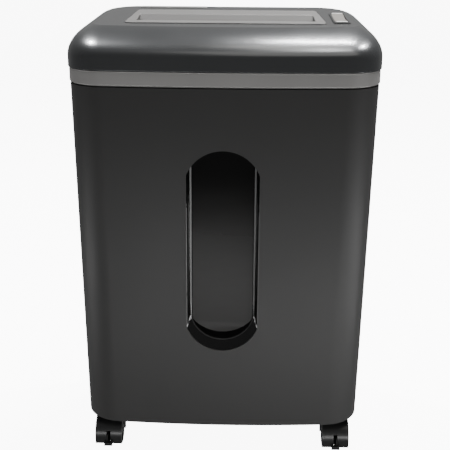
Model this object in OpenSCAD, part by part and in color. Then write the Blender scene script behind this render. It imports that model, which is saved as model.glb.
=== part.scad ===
// Cross-cut paper shredder: a tapered case on four twin-wheel casters, with the
// cutter and its motor in the head and a waste bin that pulls out at the front.
// Millimetres. The origin is on the floor under the middle of the case,
// +X is the right hand of someone facing the front, the front faces -Y, +Z is up.

/* [Case] */
// Overall width, across the foot of the lid
body_w = 384; // [376:1:430]
// Overall depth, front to back
body_d = 262; // [262:1:300]
// Overall height, to the rear edge of the lid's flat top
body_h = 582; // [580:1:660]
// How much narrower the case is at its foot than at its top
taper_w = 16; // [0:1:24]
// How far front and back each lean in towards the foot
lean = 6.5; // [0:0.5:7]
// Radius of the upright front corners
front_r = 48; // [40:1:56]
// Radius of the upright rear corners
rear_r = 40; // [26:1:44]
// Radius of the shallow bow across the front
bow_r = 1700; // [1200:50:4000]
// Wall of the moulded shells
wall = 3; // [2.5:0.5:4]
// Joint line round the drawer front
seam = 1; // [0.8:0.1:1.6]
// Height of the silver trim band
band_h = 18; // [14:1:18]

/* [Lid] */
// Backward slope of the lid's flat top, in degrees
top_slope = 4.4; // [2:0.2:4.6]
// Run of the front shoulder, from the foot of the lid to the crease
front_in = 58; // [50:1:62]
// Run of each side shoulder
side_in = 20; // [18:1:28]
// Run of the rear shoulder
back_in = 36; // [24:1:38]
// How much narrower each side of the flat top is at its back
top_taper = 16; // [0:1:18]

/* [Paper path] */
// Clear width of the paper slot
paper_w = 222; // [218:1:224]
// Width of the slot across the sheet
slot_gap = 7; // [6:0.5:7.5]
// Depth of the light panel round the slot
throat_d = 106; // [100:1:108]
// How much narrower each side of the panel is at its back
throat_taper = 6; // [0:0.5:7]

/* [Window and bin] */
// Half width of the window opening
window_half = 45; // [40:1:50]
// Height of the lowest point of the window
window_z0 = 163; // [150:1:180]
// Height of the highest point of the window
window_z1 = 427; // [405:1:428]
// How far the pane lies behind the drawer front
pane_depth = 12; // [10:0.5:13]
// How far the drawer opens
drawer_travel = 180; // [120:5:185]

/* [Cutter] */
// Cutters on each shaft
disc_count = 24; // [20:1:24]
// Thickness of a cutter
disc_t = 4; // [3.6:0.1:4.2]
// Distance between cutters along a shaft
disc_pitch = 9; // [9:0.05:9.1]
// Radius of a cutter
disc_r = 20; // [19:0.1:20.4]
// Radius of the shaft between cutters
core_r = 12.5; // [11:0.1:12.8]
// Radius of the shaft in its bushes
journal_r = 6; // [5:0.25:6.5]
// Running clearance of shafts and pins, on the radius
run_fit = 0.06; // [0.04:0.01:0.08]
// Bore of the cord entry
cord_bore = 7.4; // [6:0.2:9]
// Length of the motor
motor_len = 134; // [100:1:140]

/* [Casters] */
// Radius of a caster wheel
wheel_r = 20; // [18:0.5:20]
// Distance of each caster's stem from the middle, sideways
caster_x = 154; // [145:1:155]
// How far each axle trails its stem
trail = 14; // [12:0.5:15]

/* [Hidden] */
$fn = 48;
eps = 0.01;

// Heights of the stack
foot_z = 2*wheel_r + 13;
split_z = body_h - 79;
band_z = split_z + 1;
lid_z = band_z + band_h;
shoulder_z = lid_z + 14;
case_half = body_d/2 - 2;
seam_y = -71;
back_edge_y = body_d/2 - back_in;

// Paper path and throat
slot_y = -4;
throat_y = 5;
groove_front = -27;
groove_back = 24;
groove_depth = 11;
throat_drop = 15;
throat_lip = 1;

// Head tray, a tub that carries the works
tray_half = body_w/2 - 20;
tray_y0 = -92;
tray_y1 = 118;
tray_z = split_z - 65;
tray_t = 2.5;
tray_floor = tray_z + tray_t;

// Side plates and cutter shafts
plate_in = max(paper_w/2, disc_count*disc_pitch/2 + 3) + 6;
plate_t = 3;
plate_out = plate_in + plate_t;
cut_z = split_z - 25;
shaft_gap = 34;
axis_a = [slot_y - shaft_gap/2, cut_z];
axis_b = [slot_y + shaft_gap/2, cut_z];
disc_x0 = -disc_count*disc_pitch/2 + disc_pitch/4;
journal_x = plate_out + 4;
bush_r = journal_r + 3;

// Gear train: module and teeth of each pair, from the motor to the cutters
timing_m = 2;
timing_z = 17;
m1 = 1;
m2 = 1.25;
m3 = 1.75;
pinion_z = 12;
z1 = 42;
z2 = 44;
z3 = 40;
timing_x = plate_out + 1;
inner_x = plate_out + 15;
outer_x = plate_out + 29;
gear_w = 12;
outer_gear_w = 8;
gear_plate_x = plate_out + 39;
gear_play = 0.25;
idler_2_dir = 50.1;
idler_1_dir = -20;
motor_dir = -83.8;
axis_2 = axis_b + polar(m3*(z3 + pinion_z)/2, idler_2_dir);
axis_1 = axis_2 + polar(m2*(z2 + pinion_z)/2, idler_1_dir);
axis_m = axis_1 + polar(m1*(z1 + pinion_z)/2, motor_dir);
motor_r = 33;
motor_x1 = plate_in - 3;
motor_x0 = motor_x1 - motor_len;
motor_shaft_r = 4;
stud_r = 3;

// Tooth positions, so that every pair is in mesh
turn_a = 0;
turn_b = meshed(turn_a, timing_z, timing_z, 0);
turn_drive = 0;
turn_2 = meshed(turn_drive, z3, pinion_z, idler_2_dir);
turn_1 = meshed(turn_2, z2, pinion_z, idler_1_dir);
turn_m = meshed(turn_1, z1, pinion_z, motor_dir);

// Paper sensor
sensor_axis = [10, split_z + 32];
sensor_pin_r = 1.5;

// Mode switch
rocker_x = body_w/2 - side_in - 26;
rocker_y = -1;
rocker_pivot = -6;
rocker_half = 34;
rocker_well = rocker_half + 2.2;
bezel_w = 21;
bezel_l = 2*rocker_well + 5.2;

// Window, an oblong with arched ends
arch_r = window_half + 3;
window_mid = (window_z0 + window_z1)/2;
arch_z0 = window_z0 + arch_r;
arch_z1 = window_z1 - arch_r;
pull_z = window_z1 + 20;
insert_t = 2;
rim_w = 7;

// Waste bin
bin_half = 150;
bin_y0 = -100;
bin_y1 = 104;
bin_z0 = foot_z + 18;
bin_z1 = tray_z - 8;
bin_t = 2.5;
rail_x = 100;
boss_x = 120;
boss_z = [110, bin_z1 - 40];

// Door switch
striker_x = window_half + rim_w + 8;
striker_y = -84;
striker_z = tray_z - 1.7;
plunger_drop = 4;

// Cord entry
gland_x = -100;
gland_z = split_z - 40;
gland_y = back_at(gland_z + 12);

// Casters
hood_r = wheel_r + 4;
hood_gap = 1.2;
hood_half = 18;
web_half = 6.2;
axle_r = 2.5;
stem_r = 4;
stem_y = [-65, 88];
socket_h = 16;
stem_foot = foot_z - 19;

// ---------------------------------------------------------------- functions

function polar(r, a) = r*[cos(a), sin(a)];

function arc(c, r, a0, a1, n, first = 0) =
  [for (i = [first:n]) c + polar(r, a0 + (a1 - a0)*i/n)];

// Plan outline: bowed front, two pairs of corners and a straight back,
// counter-clockwise from the front left. The corners are tangent to the bow.
function plan(w, y0, y1, rf, rb, bow) =
  let (
    bow_y = y0 + bow,
    fx = w/2 - rf,
    fy = bow_y - sqrt(pow(bow - rf, 2) - fx*fx),
    a = atan2(fy - bow_y, fx),
    bx = w/2 - rb,
    by = y1 - rb
  )
  concat(
    arc([0, bow_y], bow, -180 - a, a, 14),
    arc([fx, fy], rf, a, 0, 9, 1),
    arc([bx, by], rb, 0, 90, 9),
    arc([-bx, by], rb, 90, 180, 9),
    arc([-fx, fy], rf, 180, 180 - a*8/9, 8)
  );

// Share of the taper that is used up at a height: 0 at the top, 1 at the foot
function taper_at(z) = (split_z - z)/(split_z - foot_z);
function front_at(z) = -case_half + lean*taper_at(z);
function back_at(z) = case_half - lean*taper_at(z);

// Depth that the bow adds at a distance from the middle
function bow_at(x) = bow_r - sqrt(bow_r*bow_r - x*x);

function case_plan(z, inset = 0) =
  plan(
    body_w - 4 - taper_w*taper_at(z) - 2*inset,
    front_at(z) + inset,
    back_at(z) - inset,
    front_r - inset,
    rear_r - inset,
    bow_r - inset
  );

function raised(outline, z) = [for (p = outline) [p[0], p[1], z]];

// Height of the lid's sloping flat top
function top_z(y) = body_h + (y - back_edge_y)*tan(top_slope);

// One level of the lid's shoulder, with its angle from 0 at the foot of the curve
crest = 68;
function lid_ring(angle, inset) =
  let (
    run = (1 - cos(angle))/(1 - cos(crest)),
    rise = sin(angle)/sin(crest),
    outline = plan(
      body_w - 2*side_in*run - 2*inset,
      -body_d/2 + front_in*run + inset,
      body_d/2 - back_in*run - inset,
      front_r - 24*run - inset,
      rear_r - inset,
      bow_r
    ),
    narrow = run*top_taper/(body_w/2 - side_in)/body_d
  )
  [for (p = outline) [
    p[0]*(1 - narrow*(p[1] + body_d/2)),
    p[1],
    shoulder_z + (top_z(p[1]) - inset - shoulder_z)*rise
  ]];

// Involute tooth, one flank: angle from the tooth's middle at a radius
function involute(a) = tan(a)*180/PI - a;
function half_tooth(m, z, r) =
  let (
    pitch = m*z/2,
    base = pitch*cos(20),
    at_pitch = 90/z - gear_play/pitch*90/PI
  )
  at_pitch + involute(20) - (r > base ? involute(acos(base/r)) : 0);

function gear_outline(m, z, add) =
  let (
    pitch = m*z/2,
    root = pitch - 1.25*m,
    mid = max(pitch*cos(20), root + 0.1*m),
    radii = [root, mid, pitch, pitch + add*m]
  )
  [for (t = [0:z - 1]) each concat(
    [for (r = radii) polar(r, 360*t/z - half_tooth(m, z, r))],
    [for (i = [3:-1:0]) polar(radii[i], 360*t/z + half_tooth(m, z, radii[i]))]
  )];

// Turn of a gear with zb teeth that meshes with one of za teeth, seen along dir
function meshed(turn, za, zb, dir) = dir + 180 + 180/zb - (turn - dir)*za/zb;

// ------------------------------------------------------------------ helpers

// Skins a path of outlines. Open, it is capped at both ends; closed, it is a tube.
module loft(rings, closed = false) {
  n = len(rings[0]);
  k = len(rings);
  sides = [
    for (i = [0:(closed ? k - 1 : k - 2)], j = [0:n - 1])
      let (a = i*n, b = ((i + 1) % k)*n, next = (j + 1) % n)
        each [[a + j, b + j, b + next], [a + j, b + next, a + next]]
  ];
  caps = closed ? [] : [[for (j = [0:n - 1]) j], [for (j = [n - 1:-1:0]) (k - 1)*n + j]];
  polyhedron([for (ring = rings) each ring], concat(sides, caps), convexity = 6);
}

module block(x0, x1, y0, y1, z0, z1) {
  translate([x0, y0, z0]) cube([x1 - x0, y1 - y0, z1 - z0]);
}

// Extrudes a profile drawn in the YZ plane from x0 to x1
module along_x(x0, x1) {
  translate([x0, 0, 0]) rotate([90, 0, 90]) linear_extrude(x1 - x0) children();
}

module rod_x(x0, x1, at, r) {
  translate([x0, at[0], at[1]]) rotate([0, 90, 0]) cylinder(r = r, h = x1 - x0);
}

module rod_y(x, y0, y1, z, r) {
  translate([x, y1, z]) rotate([90, 0, 0]) cylinder(r = r, h = y1 - y0);
}

module round_rect(w, d, r) {
  square([w - 2*r, d], center = true);
  square([w, d - 2*r], center = true);
  for (sx = [-1, 1], sy = [-1, 1])
    translate([sx*(w/2 - r), sy*(d/2 - r)]) circle(r);
}

// Places children on the lid's sloping top
module on_top(x, y) {
  translate([x, y, top_z(y)]) rotate([top_slope, 0, 0]) children();
}

// The tapered tube of the case between two heights
module case_tube(z0, z1) {
  loft([
    raised(case_plan(z0, wall), z0),
    raised(case_plan(z0), z0),
    raised(case_plan(z1), z1),
    raised(case_plan(z1, wall), z1)
  ], closed = true);
}

// Flat ring that stiffens an edge of the case
module case_flange(z, w) {
  translate([0, 0, z]) linear_extrude(2.5) difference() {
    polygon(case_plan(z, wall/2));
    polygon(case_plan(z, wall + w));
  }
}

// Window outline in the XZ plane, grown by a margin
module window_shape(grow) {
  intersection() {
    union() {
      translate([0, arch_z0]) circle(arch_r + grow);
      translate([0, arch_z1]) circle(arch_r + grow);
      translate([-arch_r - grow, arch_z0]) square([2*(arch_r + grow), arch_z1 - arch_z0]);
    }
    translate([-window_half - grow, 0]) square([2*(window_half + grow), body_h]);
  }
}

// Extrudes a shape drawn in the XZ plane from y0 to y1
module along_y(y0, y1) {
  translate([0, y1, 0]) rotate([90, 0, 0]) linear_extrude(y1 - y0) children();
}

// Places children, drawn from the back of the drawer front, parallel to its lean
module behind_panel() {
  y = front_at(window_mid) + wall + bow_at(window_half + rim_w) + 0.1;
  translate([0, y, window_mid])
    rotate([atan(lean/(split_z - foot_z)), 0, 0])
      translate([0, 0, -window_mid]) children();
}

module gear(x0, x1, at, m, z, add, turn, bore) {
  translate([0, at[0], at[1]]) along_x(x0, x1) difference() {
    rotate(turn) polygon(gear_outline(m, z, add));
    circle(bore);
  }
}

// ---------------------------------------------------------------- fixed case

module cabinet_shell() {
  color("#2f3331") difference() {
    union() {
      case_tube(foot_z, split_z);
      case_flange(split_z - 2.5, 6);
    }
    block(-body_w, body_w, -body_d, seam_y + seam/2, 0, body_h);
    // room for the steel frame's rear flange
    block(-141, 141, case_half - wall - 12, case_half - wall - 0.1, split_z - 3, split_z + 1);
    // cooling slots in the back, opposite the motor
    for (i = [-7:7])
      block(i*9 - 1.7, i*9 + 1.7, body_d/2 - 20, body_d, split_z - 62, split_z - 20);
    rod_y(gland_x, 0, body_d, gland_z, 8);
    for (x = [-110, 110], z = [foot_z + 12, split_z - 8]) rod_y(x, 0, body_d, z, 1.7);
  }
}

module base_plate() {
  color("#2a2c2c") difference() {
    union() {
      intersection() {
        translate([0, 0, foot_z]) linear_extrude(4) polygon(case_plan(foot_z, wall + 0.02));
        block(-body_w, body_w, seam_y + 1, body_d, 0, body_h);
      }
      intersection() {
        translate([0, 0, foot_z]) linear_extrude(4) polygon(case_plan(foot_z, 20));
        block(-body_w, body_w, -96, seam_y + 2, 0, body_h);
      }
      block(-140, 140, back_at(foot_z) - wall - 3.1, back_at(foot_z) - wall - 0.1, foot_z + 3, foot_z + 20);
      for (side = [-1, 1], y = stem_y)
        translate([side*caster_x, y, foot_z]) cylinder(r = 9, h = socket_h);
    }
    for (side = [-1, 1], y = stem_y)
      translate([side*caster_x, y, 0]) cylinder(r = stem_r, h = body_h);
    for (x = [-110, 110]) rod_y(x, 0, body_d, foot_z + 12, 1.7);
  }
}

// Two channels that the bin's runners slide in
module bin_rails() {
  color("#b9bcbf") for (side = [-1, 1]) difference() {
    block(side*rail_x - 8, side*rail_x + 8, -95, 110, foot_z + 4, foot_z + 14);
    block(side*rail_x - 6, side*rail_x + 6, -96, 108, foot_z + 6, foot_z + 15);
  }
}

// Steel frame that closes the top of the cabinet and carries the head
module top_frame() {
  color("#9a9d9f") difference() {
    union() {
      translate([0, 0, split_z]) linear_extrude(3) polygon(case_plan(split_z, 2.3));
      block(-140, 140, case_half - wall - 3.2, case_half - wall - 0.2, split_z - 14, split_z + 1);
    }
    block(-tray_half - 0.3, tray_half + 0.3, tray_y0 - 0.3, tray_y1 + 0.3, split_z - 1, split_z + 4);
    for (x = [-110, 110]) rod_y(x, 0, body_d, split_z - 8, 1.7);
    tray_screw_places() cylinder(r = 1.5, h = 40, center = true);
  }
}

module tray_screw_places() {
  for (side = [-1, 1], y = [-60, 80])
    translate([side*(tray_half + 4), y, split_z]) children();
}

module band_ring() {
  inner = 3;
  color("#8b8b88") union() {
    loft([
      raised(case_plan(split_z, inner - 1), band_z),
      raised(case_plan(split_z, -1), band_z),
      raised(case_plan(split_z, -1), lid_z),
      raised(case_plan(split_z, inner - 1), lid_z)
    ], closed = true);
    // ledge that rests on the steel frame
    translate([0, 0, split_z + 3]) linear_extrude(2.5) difference() {
      polygon(case_plan(split_z, 1));
      polygon(case_plan(split_z, 7));
    }
  }
}

// Tub with a flange, open below the cutters so that the paper falls through
module head_tray() {
  color("#26282a") difference() {
    intersection() {
      union() {
        block(-tray_half, tray_half, tray_y0, tray_y1, tray_z, split_z + 5);
        block(-tray_half - 7.5, tray_half + 7.5, tray_y0 - 6, tray_y1 + 4, split_z + 3, split_z + 5);
      }
      translate([0, 0, tray_z]) linear_extrude(split_z) polygon(case_plan(tray_z, wall + 5.5));
    }
    block(-tray_half + tray_t, tray_half - tray_t, tray_y0 + tray_t, tray_y1 - tray_t,
      tray_floor, body_h);
    block(-plate_in + 5, plate_in - 5, slot_y - 52, slot_y + 46, 0, body_h);
    translate([striker_x, striker_y, 0]) cylinder(r = 2.6, h = body_h);
    rod_y(gland_x, 0, body_d, gland_z, 8);
    tray_screw_places() cylinder(r = 1.5, h = 40, center = true);
  }
}

// ----------------------------------------------------------------------- lid

module head_cover() {
  steps = 8;
  foot = [-body_d/2, body_d/2];
  color("#41464c") difference() {
    loft(concat(
      [for (i = [steps:-1:0]) lid_ring(crest*i/steps, wall)],
      [raised(plan(body_w - 2*wall, foot[0] + wall, foot[1] - wall,
        front_r - wall, rear_r - wall, bow_r), lid_z)],
      [raised(plan(body_w, foot[0], foot[1], front_r, rear_r, bow_r), lid_z)],
      [for (i = [0:steps]) lid_ring(crest*i/steps, 0)]
    ));
    on_top(0, throat_y) translate([0, 0, -wall/2]) linear_extrude(wall) throat_outline();
    on_top(0, slot_y)
      block(-plate_in - 1, plate_in + 1, groove_front - 4, groove_back + 4, -wall*2, wall);
    on_top(rocker_x, rocker_y)
      translate([0, 0, -wall*2]) linear_extrude(wall*3) round_rect(bezel_w, bezel_l, 3);
  }
}

// Its outline narrows a little towards the back
module throat_outline() {
  r = 7;
  fx = paper_w/2 + 15 - r;
  bx = fx - throat_taper;
  y = throat_d/2 - r;
  a = atan(throat_taper/(2*y));
  polygon(concat(
    arc([fx, -y], r, -90, a, 8),
    arc([bx, y], r, a, 90, 8),
    arc([-bx, y], r, 90, 180 - a, 8),
    arc([-fx, -y], r, 180 - a, 270, 8)
  ));
}

// Light panel with the funnel that leads a sheet into the slot
module throat_plate() {
  color("#b3b3af") difference() {
    union() {
      on_top(0, throat_y)
        translate([0, 0, -wall/2]) linear_extrude(wall/2 + throat_lip) throat_outline();
      on_top(0, slot_y) along_x(-plate_in + 1, plate_in - 1) polygon([
        [groove_front - 3, 0],
        [groove_front - 3, -wall],
        [-slot_gap/2 - 3, -throat_drop],
        [slot_gap/2 + 3, -throat_drop],
        [groove_back + 3, -wall],
        [groove_back + 3, 0]
      ]);
    }
    on_top(0, slot_y) along_x(-paper_w/2 - 2, paper_w/2 + 2) polygon([
      [groove_front, throat_lip + eps],
      [-slot_gap/2, -groove_depth],
      [slot_gap/2, -groove_depth],
      [groove_back, throat_lip + eps]
    ]);
    on_top(0, slot_y)
      block(-paper_w/2, paper_w/2, -slot_gap/2, slot_gap/2, -throat_drop - 1, 0);
  }
}

// Blank plate at the back left of the lid
module label_plate() {
  color("#c9c9c5") on_top(-74, 85) linear_extrude(0.8) round_rect(91, 13, 2);
}

module switch_bezel() {
  color("#8f9090") on_top(rocker_x, rocker_y) difference() {
    translate([0, 0, -11]) linear_extrude(11.9) round_rect(bezel_w, bezel_l, 3);
    block(-bezel_w/2 + 2.1, bezel_w/2 - 2.1, -rocker_well, rocker_well, -12, 2);
    rod_x(-bezel_w, bezel_w, [0, rocker_pivot], 1.8 + run_fit);
  }
}

// Rocker with a shallow V top, on two stub pins
module mode_rocker() {
  color("#77786f") on_top(rocker_x, rocker_y) union() {
    along_x(-8, 8) polygon([
      [-rocker_half, 1.6], [-rocker_half, -1.5], [-6, -8.5],
      [6, -8.5], [rocker_half, -1.5], [rocker_half, 1.6], [0, -0.3]
    ]);
    rod_x(-bezel_w/2 + 0.2, bezel_w/2 - 0.2, [0, rocker_pivot], 1.8);
  }
}

// -------------------------------------------------------------------- cutter

// Two sheets that lead the paper down between the shafts, with the sensor's ears
module feed_guides() {
  top = split_z + 53.5;
  foot = cut_z + 22;
  rear = slot_y + slot_gap/2 + 1;
  front = slot_y - slot_gap/2;
  color("#a9acae") difference() {
    union() {
      block(-plate_in, plate_in, front - 2, front, foot, top);
      block(-plate_in, plate_in, rear, rear + 2, foot, top);
      for (side = [-1, 1])
        block(side*3.5 - 1, side*3.5 + 1, rear + 1, sensor_axis[0] + 4,
          sensor_axis[1] - 7, sensor_axis[1] + 6);
      rod_x(-4.5, 4.5, sensor_axis, sensor_pin_r);
    }
    block(-2.5, 2.5, rear - 1, rear + 3, sensor_axis[1] - 20, sensor_axis[1] + 7);
  }
}

module sensor_lever() {
  color("#1c1d1e") along_x(-1.5, 1.5) translate(sensor_axis) difference() {
    union() {
      circle(4);
      rotate(197) translate([0, -1.5]) square([16.5, 3]);
      translate([0, -1.5]) square([15, 3]);
    }
    circle(sensor_pin_r + run_fit);
  }
}

module side_plate(x0, y0, y1, z1) {
  difference() {
    block(x0, x0 + plate_t, y0, y1, tray_floor, z1);
    for (at = [axis_a, axis_b]) rod_x(x0 - 1, x0 + plate_t + 1, at, bush_r);
    for (at = rod_places()) rod_x(x0 - 1, x0 + plate_t + 1, at, 4);
  }
}

function rod_places() = [
  axis_a + [-23, -23], axis_b + [25, -23], axis_a + [-19, 22], axis_b + [21, 22]
];

module side_plate_left() {
  color("#a9acae") side_plate(-plate_out, -52, 48, cut_z + 28);
}

// The right plate also carries the motor and the gear studs
module side_plate_right() {
  color("#a9acae") difference() {
    side_plate(plate_in, -52, tray_y1 - 4, cut_z + 67);
    rod_x(plate_in - 1, plate_out + 1, axis_m, 8);
    for (at = [axis_1, axis_2]) rod_x(plate_in - 1, plate_out + 1, at, stud_r);
    for (at = post_places()) rod_x(plate_in - 1, plate_out + 1, at, stud_r);
  }
}

module tie_rods() {
  color("#b9bcbf") for (at = rod_places()) rod_x(-plate_out, plate_out, at, 4);
}

module shaft_bushes() {
  color("#a5823f") for (side = [-1, 1], at = [axis_a, axis_b]) difference() {
    union() {
      rod_x(side*(plate_in + plate_t/2) - plate_t/2, side*(plate_in + plate_t/2) + plate_t/2,
        at, bush_r);
      rod_x(side*(plate_in - 1) - 1, side*(plate_in - 1) + 1, at, bush_r + 2.5);
    }
    rod_x(-body_w, body_w, at, journal_r + run_fit);
  }
}

// Bar with a finger in every gap between the cutters of one shaft
module comb(axis, toward, shift) {
  face = axis[0] + toward*(disc_r + 1.5);
  tip = axis[0] + toward*(core_r + 0.9);
  block(-plate_in, plate_in, min(face, face + toward*4.5), max(face, face + toward*4.5),
    cut_z - 10, cut_z + 10);
  for (i = [0:disc_count - 2]) {
    x = disc_x0 + shift + i*disc_pitch + disc_pitch/2;
    block(x - 1.7, x + 1.7, min(face, tip) - 0.1, max(face, tip) + 0.1, cut_z - 5, cut_z + 5);
  }
}

module comb_front() {
  color("#8d9092") comb(axis_a, -1, 0);
}

module comb_rear() {
  color("#8d9092") comb(axis_b, 1, -disc_pitch/2);
}

module cutter_shaft(axis, x1) {
  rod_x(-plate_in + 2.5, plate_in - 2.5, axis, core_r);
  rod_x(-journal_x, x1, axis, journal_r);
}

// Hooked teeth round a cutter, each disc turned a little from the last
module cutter_discs(axis, shift) {
  teeth = 6;
  for (i = [0:disc_count - 1]) {
    x = disc_x0 + shift + i*disc_pitch;
    translate([0, axis[0], axis[1]]) along_x(x - disc_t/2, x + disc_t/2) difference() {
      rotate(i*25) polygon([for (t = [0:teeth - 1]) each [
        polar(disc_r, 360*t/teeth - 12),
        polar(disc_r, 360*t/teeth),
        polar(disc_r - 3, 360*t/teeth + 4),
        polar(disc_r - 2.4, 360*t/teeth + 16),
        polar(disc_r - 0.8, 360*t/teeth + 32)
      ]]);
      circle(core_r);
    }
  }
}

module cutter_shaft_a() {
  color("#8f9294") cutter_shaft(axis_a, timing_x + gear_w + 1);
}

module cutter_discs_a() {
  color("#7b7e80") cutter_discs(axis_a, 0);
}

module cutter_shaft_b() {
  color("#8f9294") cutter_shaft(axis_b, inner_x + gear_w + 1.5);
}

module cutter_discs_b() {
  color("#7b7e80") cutter_discs(axis_b, -disc_pitch/2);
}

// ---------------------------------------------------------------- gear train

module timing_gear_a() {
  color("#6f7274") gear(timing_x, timing_x + gear_w, axis_a, timing_m, timing_z, 0.95,
    turn_a, journal_r);
}

module timing_gear_b() {
  color("#6f7274") gear(timing_x, timing_x + gear_w, axis_b, timing_m, timing_z, 0.95,
    turn_b, journal_r);
}

module drive_gear() {
  color("#6f7274") gear(inner_x, inner_x + gear_w, axis_b, m3, z3, 0.75, turn_drive, journal_r);
}

// Each idler is a wheel and a pinion in one, on a fixed stud
module idler_gear_2() {
  color("#d8d6cc") union() {
    gear(inner_x, inner_x + gear_w + 2, axis_2, m3, pinion_z, 1, turn_2, stud_r + run_fit);
    gear(outer_x, outer_x + outer_gear_w, axis_2, m2, z2, 0.75, turn_2, stud_r + run_fit);
  }
}

module idler_gear_1() {
  color("#d8d6cc") union() {
    gear(inner_x, inner_x + gear_w, axis_1, m1, z1, 0.75, turn_1, stud_r + run_fit);
    gear(inner_x + gear_w, outer_x + outer_gear_w, axis_1, m2, pinion_z, 1, turn_1,
      stud_r + run_fit);
  }
}

module motor_pinion() {
  color("#8f9294") gear(inner_x, inner_x + gear_w, axis_m, m1, pinion_z, 1, turn_m,
    motor_shaft_r);
}

function post_places() = [
  axis_b + [-33, 40], axis_1 + [25, 19], axis_m + [27, -22], axis_m + [-17, -25]
];

// Studs for the idlers, and the posts that hold the outer plate
module gear_studs() {
  color("#b9bcbf") {
    for (at = [axis_1, axis_2]) {
      rod_x(plate_in, gear_plate_x + 3, at, stud_r);
      rod_x(plate_out, inner_x - 0.6, at, stud_r + 3);
    }
    for (at = post_places()) rod_x(plate_in, gear_plate_x + 3, at, stud_r);
  }
}

module gear_plate() {
  color("#a9acae") difference() {
    block(gear_plate_x, gear_plate_x + 3, post_places()[0][0] - 7, tray_y1 - 5,
      tray_floor + 1, cut_z + 67);
    for (at = concat([axis_1, axis_2], post_places()))
      rod_x(gear_plate_x - 1, gear_plate_x + 4, at, stud_r);
  }
}

// --------------------------------------------------------------------- motor

module motor_stator() {
  color("#54575a") difference() {
    rod_x(motor_x0, motor_x1, axis_m, motor_r);
    rod_x(motor_x0 + 6, motor_x1 - 6, axis_m, 22);
    rod_x(motor_x0 - 1, motor_x1 + 1, axis_m, motor_shaft_r + run_fit);
  }
}

// Ring between motor and side plate, and a saddle under the far end
module motor_brackets() {
  color("#a9acae") union() {
    difference() {
      rod_x(motor_x1, plate_in, axis_m, motor_r - 4);
      rod_x(motor_x1 - 1, plate_in + 1, axis_m, 10);
    }
    difference() {
      block(motor_x0 + 8, motor_x0 + 16, axis_m[0] - 24, axis_m[0] + 24, tray_floor,
        axis_m[1] - 12);
      rod_x(motor_x0, motor_x1, axis_m, motor_r);
    }
  }
}

module motor_rotor() {
  color("#b07c4a") union() {
    rod_x(motor_x0 + 14, motor_x1 - 14, axis_m, 20);
    rod_x(motor_x0 - 16, inner_x + gear_w + 1, axis_m, motor_shaft_r);
  }
}

module cooling_fan() {
  blades = 7;
  color("#2a2c2e") translate([motor_x0 - 14, axis_m[0], axis_m[1]])
    rotate([90, 0, 90]) difference() {
      union() {
        cylinder(r = 9, h = 10);
        for (i = [0:blades - 1])
          rotate(360*i/blades) translate([0, -1, 1]) cube([28, 2, 8]);
      }
      translate([0, 0, -1]) cylinder(r = motor_shaft_r, h = 12);
    }
}

// --------------------------------------------------------------- electronics

// Circuit board on four posts from the tub's left wall, with its large parts
module control_board() {
  x = -tray_half + 18;
  t = 1.6;
  color("#2f5d3a") union() {
    block(x, x + t, -72, 22, cut_z - 30, cut_z + 22);
    for (y = [-66, 16], z = [cut_z - 25, cut_z + 17]) rod_x(-tray_half + tray_t, x, [y, z], 3);
    rod_x(x + t, x + 20, [-52, cut_z - 8], 8);
    block(x + t, x + 16, -36, -16, cut_z - 20, cut_z + 8);
    block(x + t, x + 22, -10, 12, cut_z - 24, cut_z - 2);
    for (i = [0:4]) block(x + t, x + 11, -36 + i*8, -30 + i*8, cut_z + 12, cut_z + 19);
  }
}

// Door switch on the tub's front wall
module safety_switch() {
  color("#2a2c2e") difference() {
    block(striker_x - 8, striker_x + 8, tray_y0 + tray_t, striker_y + 6,
      tray_floor + 5, tray_floor + 25);
    translate([striker_x, striker_y, 0]) cylinder(r = 2 + run_fit, h = tray_floor + 21);
  }
}

module interlock_plunger() {
  color("#e0ded6") translate([striker_x, striker_y, striker_z + 0.6])
    cylinder(r = 2, h = 18);
}

// Bush that the supply cord enters through, at the back
module cord_gland() {
  color("#1c1d1e") difference() {
    union() {
      rod_y(gland_x, tray_y1 - 6, gland_y, gland_z, 8);
      rod_y(gland_x, gland_y, gland_y + 1.6, gland_z, 11);
    }
    rod_y(gland_x, 0, body_d, gland_z, cord_bore/2);
  }
}

module case_screws() {
  color("#b9bcbf") {
    for (x = [-110, 110], z = [foot_z + 12, split_z - 8]) {
      rod_y(x, back_at(z) - wall - 4, back_at(z) + 0.2, z, 1.7);
      rod_y(x, back_at(z) + 0.1, back_at(z) + 1.4, z, 3.4);
    }
    tray_screw_places() union() {
      cylinder(r = 1.5, h = 5);
      translate([0, 0, 5]) cylinder(r = 3, h = 1.6);
    }
  }
}

// -------------------------------------------------------------------- drawer

module front_panel() {
  z0 = foot_z + 1;
  z1 = split_z - 1;
  color("#2f3331") difference() {
    union() {
      case_tube(z0, z1);
      case_flange(z0, 9);
      case_flange(z1 - 2.5, 9);
      for (side = [-1, 1], z = boss_z)
        rod_y(side*boss_x, front_at(z) + bow_at(boss_x) + wall/2, bin_y0, z, 5);
      // arm that holds the door switch closed
      block(striker_x - 5, striker_x + 5, front_at(striker_z) + bow_at(striker_x) + wall/2,
        striker_y + 5, striker_z - 3, striker_z);
    }
    block(-body_w, body_w, seam_y - seam/2, body_d, 0, body_h);
    along_y(-body_d, front_at(window_mid) + 12) window_shape(0);
    for (side = [-1, 1], z = boss_z) rod_y(side*boss_x, bin_y0 - 12, bin_y0 + 1, z, 1.6);
  }
}

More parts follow.
